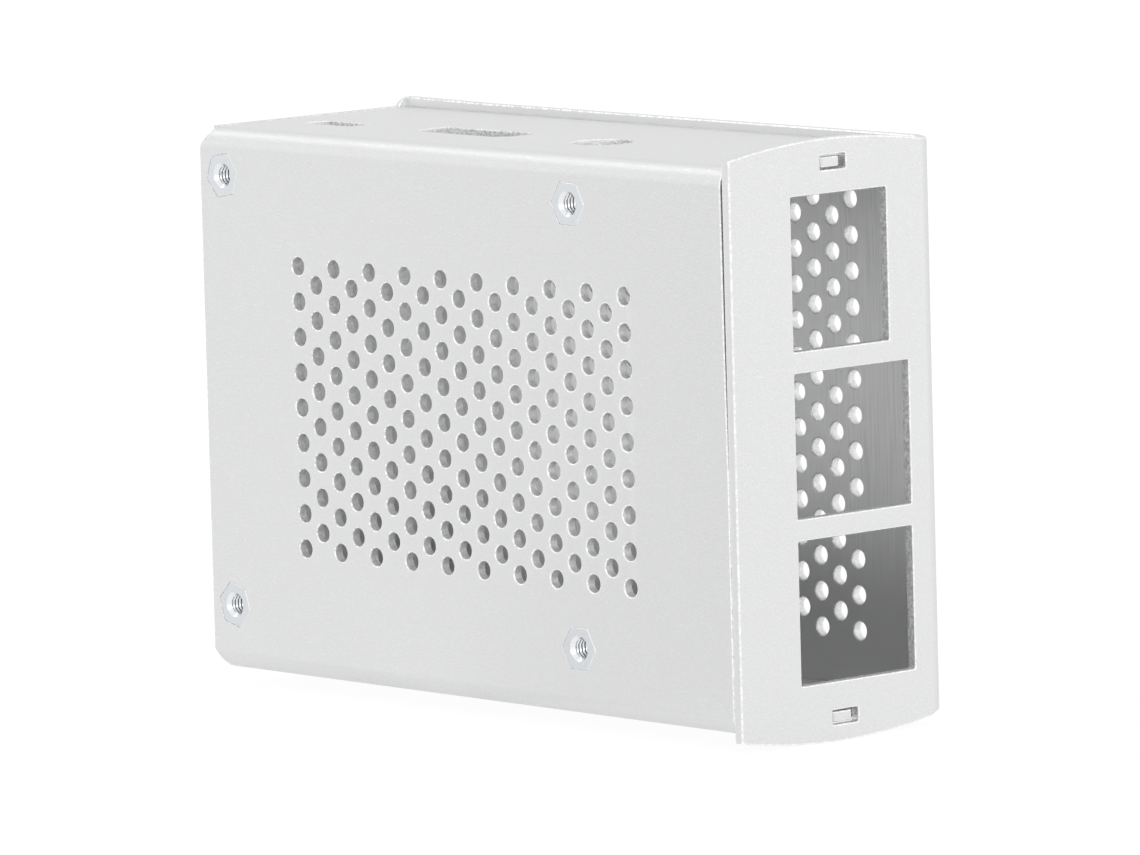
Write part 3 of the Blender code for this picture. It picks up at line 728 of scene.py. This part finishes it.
class TrayBlank(FoldedBlank):
    """The tray laid flat: U runs along the case, and V across it and up its two walls."""

    def __init__(self, sizes):
        super().__init__(sizes, sizes.tray_bend, (TRAY_HIGH.z - TRAY_LOW.z) / 2)
        self.jack = COVER_HIGH.x - sizes.thickness - sizes.port_side_gap

    def along(self, y):
        """The place along V, in a wall, of a height above the base plate's outer face."""
        return self.end + y - self.radius

    def side(self):
        """The port side's edge, from the foot of its tab round the wall to the base plate."""
        start = COVER_LOW.x + self.sizes.thickness + CARD_END_GAP
        clip = start - TRAY_LOW.x
        corner = self.sizes.wall_corner
        tab = self.sizes.tab_corner
        tab_end = TRAY_HIGH.x - tab
        low = self.along(self.sizes.tab_start)
        high = low + self.sizes.tab_width
        top = self.along(TRAY_HIGH.y - TRAY_LOW.y) - corner
        points = [(self.jack, low)]
        points += arc((tab_end, low + tab), tab, -QUARTER, 0, TAB_STEPS)
        points += arc((tab_end, high - tab), tab, 0, QUARTER, TAB_STEPS)
        points += [(self.jack, high)]
        points += arc((self.jack - corner, top), corner, 0, QUARTER, WALL_STEPS)
        points += arc((start + corner, top), corner, QUARTER, math.pi, WALL_STEPS)
        for k in range(CLIP_STEPS, -1, -1):
            along_bend = self.bend * k / CLIP_STEPS
            points.append((TRAY_LOW.x + clip * math.sin(QUARTER * k / CLIP_STEPS), self.flat + along_bend))
        return points

    def outline(self):
        """The whole edge, on which the jack end's gap closes towards the plain side."""
        right = self.side()
        slant = self.sizes.port_side_gap - self.sizes.plain_side_gap
        points = right + [(u + slant if u == self.jack else u, -v) for u, v in reversed(right)]
        points += [(self.jack + slant, GAP_CLOSED), (self.jack + slant * GAP_SHARE, GAP_NARROWED)]
        return without_repeats(points)

    def pocket(self, name, fasteners):
        """A standoff's seat: the outline of its hexagonal pocket, and that of its round hole."""
        seat = seat_place(name)
        u, v = seat.x, seat.z - MIDDLE_Z
        hole = fasteners.barrel / 2 + SEAT_GAP
        front = []
        back = []
        for k in range(POCKET_SIDES):
            turn = -2 * math.pi * k / POCKET_SIDES
            reach = hexagon_reach(fasteners.hex_flats + 2 * SEAT_GAP, turn, POCKET_REACH)
            cosine, sine = math.cos(HEX_TURNS[name] + turn), math.sin(HEX_TURNS[name] + turn)
            front.append((u + reach * cosine, v + reach * sine))
            back.append((u + hole * cosine, v + hole * sine))
        return front, back

    def ports(self):
        """The openings for power, video and audio."""
        places = [(BOARD_CARD_EDGE + x, self.along(y)) for x, y in (POWER_PLACE, VIDEO_PLACE, AUDIO_PLACE)]
        (u, v), (x, y) = places[0], POWER_HALF
        power = rounded_box((u - x, v - y), (u + x, v + y), POWER_CORNER, TAB_STEPS)
        (u, v), (x, y) = places[1], VIDEO_HALF
        cut = VIDEO_CHAMFER
        video = [
            (u - x, v + y), (u - x, v - y + cut), (u - x + cut, v - y),
            (u + x - cut, v - y), (u + x, v - y + cut), (u + x, v + y)]
        audio = arc(places[2], AUDIO_RADIUS, 0, -2 * math.pi, AUDIO_SIDES)[:-1]
        return [clockwise(power), clockwise(video), audio]

    def folded(self, u, v, w):
        """The place and the axes, in the frame, of a point of the blank."""
        out, depth, sine, cosine = self.fold(v, w)
        axes = ((1, 0, 0), (0, sine, cosine), (0, cosine, -sine))
        return (u, BASE_Y + depth, MIDDLE_Z + out), axes


class CASE_OT_fold_tray(Operator):
    """Draws the tray's blank, with its vents, ports and tabs, and folds its two walls"""

    bl_idname = "case.fold_tray"
    bl_label = "Fold the tray"

    def execute(self, context):
        sizes = context.scene.case_sheets
        fasteners = context.scene.case_fasteners
        colours = context.scene.case_colours
        form = TrayBlank(sizes)
        holes = vents(*TRAY_VENTS, ((TRAY_LOW.x + form.jack) / 2 + TRAY_VENT_SHIFT, 0.0), sizes)
        pockets = {}
        for name in PLACES:
            pockets[len(holes)] = fasteners.hex_thickness + POCKET_PLAY
            holes.append(form.pocket(name, fasteners))
        looks = dict.fromkeys(range(len(holes)), (VENT_WALL, RIM))
        for port in form.ports():
            looks[len(holes)] = (CUT, CUT)
            holes.append(port)

        bm = bmesh.new()
        blank(bm, form.outline(), holes, sizes.thickness, sizes.edge, pockets, looks)
        cut_at_bends(bm, form.bends, TRAY_FACETS)
        tray = sheet_object("tray_sheet", bm, form.folded, (
            sheet_finish("blasted_sheet_tray", colours, 0.0),
            inside_finish("rolled_inside_tray", colours, (260.0, 3400.0, 3400.0)),
            cut_finish("cut_faces_tray", colours.port, colours.jackward_painted_light, 0.06 * MM),
            rim_finish("rims_tray", colours),
            cut_finish("vent_walls_tray", colours.vent, colours.vent, 0.03 * MM)))
        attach(tray, "root")
        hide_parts("base_tray")
        return {"FINISHED"}


class CoverBlank(FoldedBlank):
    """The cover laid flat: U runs across the case, and V along it, with the jack end at +V."""

    def __init__(self, sizes):
        self.half = (COVER_HIGH.x - COVER_LOW.x) / 2
        super().__init__(sizes, sizes.cover_bend, self.half)
        self.depth = COVER_HIGH.y - COVER_LOW.y
        self.wall = (TRAY_HIGH.z - TRAY_LOW.z) / 2
        self.lip = self.wall + sizes.lip

    def along(self, y):
        """The place along V, in the jack end, of a height above the base plate's outer face."""
        return self.end + (self.depth - self.radius) - y

    def curved_edge(self):
        """The jack end's edge: one flat arc, from the base plate up to the bend."""
        top = self.wall + self.sizes.crown
        rise = self.depth - self.radius
        drop = top - self.lip
        radius = ((rise - self.sizes.crown_place) ** 2 + drop ** 2) / (2 * drop)
        points = []
        for k in range(CROWN_STEPS + 1):
            y = rise * k / CROWN_STEPS
            reach = math.sqrt(radius ** 2 - (y - self.sizes.crown_place) ** 2)
            points.append((top - radius + reach, self.along(y)))
        return points

    def dipped_edge(self, dip):
        """The edge through the jack end's bend, from the end plate to the main plate."""
        turns = [math.pi * k / DIP_STEPS for k in range(1, DIP_STEPS + 1)]
        return [(self.lip - dip * math.sin(turn), self.end - self.bend * turn / math.pi) for turn in turns]

    def card_corner(self):
        """The rise of the straight edge towards the card end, and the corner that ends it."""
        corner = self.sizes.card_corner
        card_lip = self.wall + self.sizes.card_lip
        turned = math.acos((self.wall - (card_lip - corner)) / corner)
        middle = corner * math.sin(turned) - self.half - CORNER_FOOT
        points = [(self.lip, -self.half + LIP_RISES)]
        for k in range(CORNER_STEPS + 1):
            angle = turned * k / CORNER_STEPS
            points.append((card_lip - corner + corner * math.cos(angle), middle - corner * math.sin(angle)))
        return points

    def side(self, dip):
        return self.curved_edge() + self.dipped_edge(dip) + self.card_corner()

    def card_end(self):
        """The card end's free edge, with the notch that leaves the memory card free."""
        rise = -self.along(CARD_END_RISE)
        inner = -self.along(NOTCH_TOP) - NOTCH_CORNER
        board_middle = (self.wall - self.sizes.thickness - BOARD_PORT_GAP) - BOARD_HALF_WIDTH
        low = board_middle - NOTCH_HALF_WIDTH
        high = board_middle + NOTCH_HALF_WIDTH
        points = [(self.wall, rise), (high, rise)]
        points += arc((high - NOTCH_CORNER, inner), NOTCH_CORNER, 0, QUARTER, TAB_STEPS)
        points += arc((low + NOTCH_CORNER, inner), NOTCH_CORNER, QUARTER, math.pi, TAB_STEPS)
        return points + [(low, rise), (-self.wall, rise)]

    def outline(self):
        port_side = self.side(self.sizes.port_side_dip)
        plain_side = [(-u, v) for u, v in reversed(self.side(self.sizes.plain_side_dip))]
        return clockwise(without_repeats(port_side + self.card_end() + plain_side))[::-1]

    def windows(self):
        """The jack end's windows, from the port side down."""
        holes = []
        top = WINDOW_TOP
        for reach, width in WINDOWS:
            low = (top - width, self.along(self.depth - reach))
            high = (top, self.along(WINDOW_START))
            holes.append(clockwise(rounded_box(low, high, OPENING_CORNER, OPENING_STEPS)))
            top -= width + WINDOW_BAR
        return holes

    def slots(self):
        """The two slots that the tray's tabs reach into."""
        low = self.along(SLOT_START + SLOT_LENGTH)
        high = self.along(SLOT_START)
        inner = self.wall - self.sizes.thickness - SLOT_GAP
        outer = self.wall + SLOT_GAP
        boxes = (((inner, low), (outer, high)), ((-outer, low), (-inner, high)))
        return [clockwise(rounded_box(*box, OPENING_CORNER, OPENING_STEPS)) for box in boxes]

    def folded(self, u, v, w):
        """The place and the axes, in the frame, of a point of the blank."""
        out, depth, sine, cosine = self.fold(v, w)
        axes = ((0, 0, 1), (cosine, -sine, 0), (-sine, -cosine, 0))
        return (out, BASE_Y + self.depth - depth, MIDDLE_Z + u), axes


class CASE_OT_fold_cover(Operator):
    """Draws the cover's blank, with its vents, windows and slots, and folds down its two ends"""

    bl_idname = "case.fold_cover"
    bl_label = "Fold the cover"

    def execute(self, context):
        sizes = context.scene.case_sheets
        colours = context.scene.case_colours
        form = CoverBlank(sizes)
        holes = []
        for ring in vents(*COVER_VENTS, COVER_VENT_SHIFT, sizes):
            holes.append(clockwise([(z, x) for x, z in ring]))
        holes += form.windows()
        looks = {}
        for slot in form.slots():
            # The slots' cut faces take the rims' lighter finish, which is painted light on these shaded
            # faces
            looks[len(holes)] = (RIM, RIM)
            holes.append(slot)

        bm = bmesh.new()
        blank(bm, form.outline(), holes, sizes.thickness, sizes.edge, {}, looks)
        cut_at_bends(bm, form.bends, COVER_FACETS)
        cover = sheet_object("cover_sheet", bm, form.folded, (
            sheet_finish("blasted_sheet_cover", colours, 0.37),
            inside_finish("rolled_inside_cover", colours, (3400.0, 3400.0, 90.0)),
            cut_finish("cut_faces_cover", colours.torn, colours.jackward_painted_light, 0.08 * MM),
            rim_finish("rims_cover", colours)))
        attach(cover, "root")
        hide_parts("top_cover")
        return {"FINISHED"}


def thread_rise(place, angle, pitch):
    """0 at the root of a thread and 1 at its crest, for a place along it and an angle round it."""
    turn = (place / pitch + angle / (2 * math.pi)) % 1.0
    return max(0.0, min(1.0, (0.5 - abs(turn - 0.5)) * THREAD_FLANK - THREAD_ROOT))


def ring_row(radius, height):
    """A round row of the lathe."""
    return lambda angle: (radius, height)


def hexagon_row(flats, turn, shrink, height):
    """A row of the lathe with six flats."""
    return lambda angle: (hexagon_reach(flats, angle - turn, HEAD_REACH) - shrink, height)


def thread_rows(start, end, root, crest, pitch, runout):
    """Rows of the lathe that wind a groove down from start to end, and fade it out over a few rows."""
    count = int((start - end) / (pitch / THREAD_STEPS))

    def thread(k):
        place = start + (end - start) * k / count
        ease = min(1.0, k / runout, (count - k) / runout)
        return lambda angle: (
            crest + (root - crest) * (1.0 - thread_rise(place, angle, pitch)) * ease, place)

    return [thread(k) for k in range(count + 1)]


def lathe(name, rows, sides, closed):
    """Joins rings of points; each row is a function of an angle that gives a radius and a height."""
    bm = bmesh.new()
    rings = []
    for row in rows:
        ring = []
        for k in range(sides):
            angle = 2 * math.pi * k / sides
            radius, height = row(angle)
            ring.append(bm.verts.new((radius * math.cos(angle), height, radius * math.sin(angle))))
        rings.append(ring)
    pairs = list(zip(rings, rings[1:]))
    if closed:
        pairs.append((rings[-1], rings[0]))
    for lower, upper in pairs:
        for k in range(sides):
            following = (k + 1) % sides
            bm.faces.new((lower[k], lower[following], upper[following], upper[k]))
    if not closed:
        bm.faces.new(rings[0][::-1])
        bm.faces.new(rings[-1])
    bmesh.ops.recalc_face_normals(bm, faces=bm.faces)
    for face in bm.faces:
        face.smooth = True
    for edge in bm.edges:
        if len(edge.link_faces) == 2:
            edge.smooth = edge.calc_face_angle(0.0) < SMOOTH_ANGLE
    return mesh_from(bm, name)


class CASE_OT_press_standoffs(Operator):
    """Makes the four standoffs, with hexagonal heads and threaded bores"""

    bl_idname = "case.press_standoffs"
    bl_label = "Press in the standoffs"

    def execute(self, context):
        sizes = context.scene.case_fasteners
        colours = context.scene.case_colours
        zinc = plated_finish("zinc_plate", colours.zinc, (0.55, 0.56, 0.50), 0.24)
        # The countersinks and bores take a lighter plating, which is a painted highlight on the
        # countersinks and painted light in the bores
        bright = plated_finish("bright_thread", colours.thread, (0.74, 0.74, 0.70), 0.30)
        steep, shallow = COUNTERSINK_SLOPES
        for name in PLACES:
            low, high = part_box("standoff_" + name)
            rows = self.rows(sizes, high.y - low.y, HEX_TURNS[name])
            mesh = lathe("standoff_" + name + "_turned", rows, STANDOFF_SIDES, True)
            mesh.materials.append(zinc)
            mesh.materials.append(bright)
            for face in mesh.polygons:
                sloped = steep < face.normal.y < shallow
                if sloped or math.hypot(face.center.x, face.center.z) < MOUTH_RADIUS:
                    face.material_index = 1
            made = object_from(mesh, "pressed_standoff_" + name, seat_place(name))
            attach(made, "root")
            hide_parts("standoff_" + name)
        return {"FINISHED"}

    def rows(self, sizes, total, turn):
        """The rows of one standoff: outside from its head to its inner end, then back up its bore."""
        root = sizes.bore / 2
        mouth = MOUTH_RADIUS
        crest = root - sizes.thread_depth
        barrel = sizes.barrel / 2
        flats, under = sizes.hex_flats, sizes.hex_thickness
        fine = STANDOFF_EDGE
        middle = fine * STANDOFF_MIDEDGE
        across, down = HEAD_RELIEF
        rows = [
            ring_row(crest, mouth - crest), ring_row(mouth, 0.0), hexagon_row(flats, turn, across, 0.0),
            hexagon_row(flats, turn, 0.0, down), hexagon_row(flats, turn, 0.0, under - fine),
            hexagon_row(flats, turn, fine, under), ring_row(barrel, under),
            ring_row(barrel, total - 2 * fine), ring_row(barrel - middle, total - middle),
            ring_row(barrel - 2 * fine, total), ring_row(mouth, total),
            ring_row(crest, total - mouth + crest)]
        ends = mouth - crest + BORE_INSET
        return rows + thread_rows(total - ends, ends, root, crest, sizes.pitch, 3)


class CASE_OT_drive_screws(Operator):
    """Makes the four board screws, with cross recesses and threaded shanks"""

    bl_idname = "case.drive_screws"
    bl_label = "Drive in the screws"

    def execute(self, context):
        sizes = context.scene.case_fasteners
        colours = context.scene.case_colours
        nickel = plated_finish("nickel_plate", colours.nickel, (0.50, 0.47, 0.42), 0.22)
        for name in PLACES:
            low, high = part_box("board_screw_" + name)
            seat = seat_place(name)
            _, standoff_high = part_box("standoff_" + name)
            head_seat = standoff_high.y - seat.y + SCREW_PLAY
            top = high.y - seat.y
            rows = self.rows(sizes, low.y - seat.y, head_seat, top)
            mesh = lathe("board_screw_" + name + "_turned", rows, SCREW_SIDES, False)
            mesh.materials.append(nickel)
            made = object_from(mesh, "driven_screw_" + name, seat)
            self.recess(context, made, name, top)
            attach(made, "root")
            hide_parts("board_screw_" + name)
        return {"FINISHED"}

    def rows(self, sizes, tip, head_seat, top):
        """The rows of one screw, from the top of its head to its tip."""
        head = sizes.head / 2
        rim = head_seat + SCREW_EDGE
        dome = top - head_seat - SCREW_EDGE
        root = sizes.bore / 2 - sizes.thread_gap
        crest = root - sizes.thread_depth
        rows = []
        for k in range(DOME_STEPS + 1):
            turn = QUARTER * (1 - (k + DOME_FLAT) / (DOME_STEPS + DOME_FLAT))
            rows.append(ring_row(head * math.cos(turn), rim + dome * math.sin(turn)))
        half_way, foot = SCREW_BEVEL
        across, down = SHANK_FILLET
        rows += [
            ring_row(head, head_seat + SCREW_EDGE / 2), ring_row(head - half_way, head_seat + half_way),
            ring_row(head - foot, head_seat), ring_row(crest + across, head_seat),
            ring_row(crest, head_seat - down)]
        rows += thread_rows(head_seat - SHANK_START, tip + SHANK_TIP, root, crest, sizes.pitch, 6)
        return rows + [ring_row(crest - SHANK_TIP, tip)]

    def recess(self, context, screw, name, top):
        """Cuts the tapered cross into the head, and keeps the result in the mesh."""
        bm = bmesh.new()
        for turn in (CROSS_TURN, CROSS_TURN + QUARTER):
            made = bmesh.ops.create_cone(
                bm, cap_ends=True, segments=4, radius1=CROSS_RADII[0], radius2=CROSS_RADII[1],
                depth=CROSS_LENGTH, matrix=Matrix.Rotation(math.pi / 4, 4, "Z"))["verts"]
            bmesh.ops.scale(bm, verts=made, vec=(1.0, CROSS_NARROWING, 1.0))
            bmesh.ops.transform(bm, verts=made, matrix=(
                Matrix.Translation((0, top, 0)) @ Matrix.Rotation(turn, 4, "Y")
                @ Matrix.Rotation(QUARTER, 4, "X")))
        bmesh.ops.recalc_face_normals(bm, faces=bm.faces)
        cutter = object_from(mesh_from(bm, "cross_" + name), "cross_" + name, screw.location)
        cut = screw.modifiers.new("cross", "BOOLEAN")
        cut.operation = "DIFFERENCE"
        cut.solver = "EXACT"
        cut.use_self = True
        cut.object = cutter
        context.view_layer.update()
        whole = screw.evaluated_get(context.evaluated_depsgraph_get())
        headed = bpy.data.meshes.new_from_object(whole)
        screw.modifiers.clear()
        screw.data = headed
        bpy.data.objects.remove(cutter)


class CASE_OT_set_stage(Operator):
    """Sets the floor, the lights and the camera"""

    bl_idname = "case.set_stage"
    bl_label = "Set the stage"

    def execute(self, context):
        scene = context.scene
        self.floor(scene.case_colours)
        self.world(scene)
        self.lights()
        scene.camera = self.camera()
        scene.view_settings.view_transform = "Standard"
        return {"FINISHED"}

    def floor(self, colours):
        finish = Finish("pale_floor")
        place = finish.place()
        speck = finish.noise(place, scale=900.0, detail=3.0, roughness=0.6)
        tone = 1.0 + (speck - 0.5) * 0.01
        shader = finish.node("ShaderNodeBsdfPrincipled", None, {
            "Base Color": finish.lit(tuple(colours.floor), tone), "Roughness": 0.9,
            "Specular IOR Level": 0.0})
        seen = finish.node("ShaderNodeLightPath", output="Is Camera Ray")
        glossy = finish.node("ShaderNodeLightPath", output="Is Glossy Ray")
        through = finish.node("ShaderNodeLightPath", output="Is Transmission Ray")
        shown = seen.math("MINIMUM", seen + glossy + through, 1.0)
        white = finish.node("ShaderNodeEmission", None, {"Color": (1, 1, 1), "Strength": FLOOR_WHITE})
        both = finish.node("ShaderNodeMixShader", None, {0: shown * FLOOR_SHARE, 1: shader, 2: white})
        finish.tree.links.new(both.socket, finish.output.inputs["Surface"])
        bm = bmesh.new()
        bmesh.ops.create_grid(bm, x_segments=2, y_segments=2, size=4.0)
        floor = object_from(mesh_from(bm, "floor"), "floor", (0, 0, CAD_BOX[0].z - FLOOR_GAP))
        floor.data.materials.append(finish.material)

    def world(self, scene):
        world = bpy.data.worlds.new("studio")
        world.use_nodes = True
        tree = world.node_tree
        tree.nodes.clear()
        background = tree.nodes.new("ShaderNodeBackground")
        background.inputs["Color"].default_value = (1, 1, 1, 1)
        background.inputs["Strength"].default_value = 1.0
        output = tree.nodes.new("ShaderNodeOutputWorld")
        tree.links.new(background.outputs[0], output.inputs["Surface"])
        scene.world = world

    def lights(self):
        for name, place, size, power in LAMPS:
            data = bpy.data.lights.new(name, "AREA")
            data.size = size
            data.energy = power
            lamp = object_from(data, name, place)
            aim = Vector((0, 0, MIDDLE_Z)) - Vector(place)
            lamp.rotation_euler = aim.to_track_quat("-Z", "Y").to_euler()

    def camera(self):
        data = bpy.data.cameras.new("camera")
        data.sensor_width = 36.0
        data.lens = CAMERA_LENS
        data.clip_start = 0.05
        data.clip_end = 20.0
        camera = object_from(data, "camera")
        ahead = Vector((
            -math.sin(CAMERA_TURN) * math.cos(CAMERA_RISE), math.cos(CAMERA_TURN) * math.cos(CAMERA_RISE),
            -math.sin(CAMERA_RISE)))
        level = Vector((math.cos(CAMERA_TURN), math.sin(CAMERA_TURN), 0))
        right = level * math.cos(CAMERA_ROLL) + level.cross(ahead) * math.sin(CAMERA_ROLL)
        up = right.cross(ahead)
        rotation = Matrix((right, up, -ahead)).transposed()
        camera.matrix_world = Matrix.Translation(CAMERA_PLACE) @ rotation.to_4x4()
        return camera


class CASE_PT_panel(Panel):
    """Lists the case's pieces and the sizes and colours that they use"""

    bl_idname = "CASE_PT_panel"
    bl_label = "Computer case"
    bl_space_type = "VIEW_3D"
    bl_region_type = "UI"
    bl_category = "Case"

    def draw(self, context):
        layout = self.layout
        scene = context.scene
        for operator in OPERATORS:
            layout.operator(operator.bl_idname)
        for group in (scene.case_sheets, scene.case_fasteners, scene.case_colours):
            box = layout.box()
            for name in group.__annotations__:
                box.prop(group, name)


OPERATORS = (
    CASE_OT_fold_tray,
    CASE_OT_fold_cover,
    CASE_OT_press_standoffs,
    CASE_OT_drive_screws,
    CASE_OT_set_stage,
)
GROUPS = (CaseSheetSizes, CaseFastenerSizes, CaseFinishColours)


def register():
    for kind in GROUPS + OPERATORS + (CASE_PT_panel,):
        bpy.utils.register_class(kind)
    bpy.types.Scene.case_sheets = PointerProperty(type=CaseSheetSizes)
    bpy.types.Scene.case_fasteners = PointerProperty(type=CaseFastenerSizes)
    bpy.types.Scene.case_colours = PointerProperty(type=CaseFinishColours)


def unregister():
    del bpy.types.Scene.case_colours
    del bpy.types.Scene.case_fasteners
    del bpy.types.Scene.case_sheets
    for kind in reversed(GROUPS + OPERATORS + (CASE_PT_panel,)):
        bpy.utils.unregister_class(kind)


def main():
    register()
    bpy.ops.case.fold_tray()
    bpy.ops.case.fold_cover()
    bpy.ops.case.press_standoffs()
    bpy.ops.case.drive_screws()
    bpy.ops.case.set_stage()


if __name__ == "__main__":
    main()
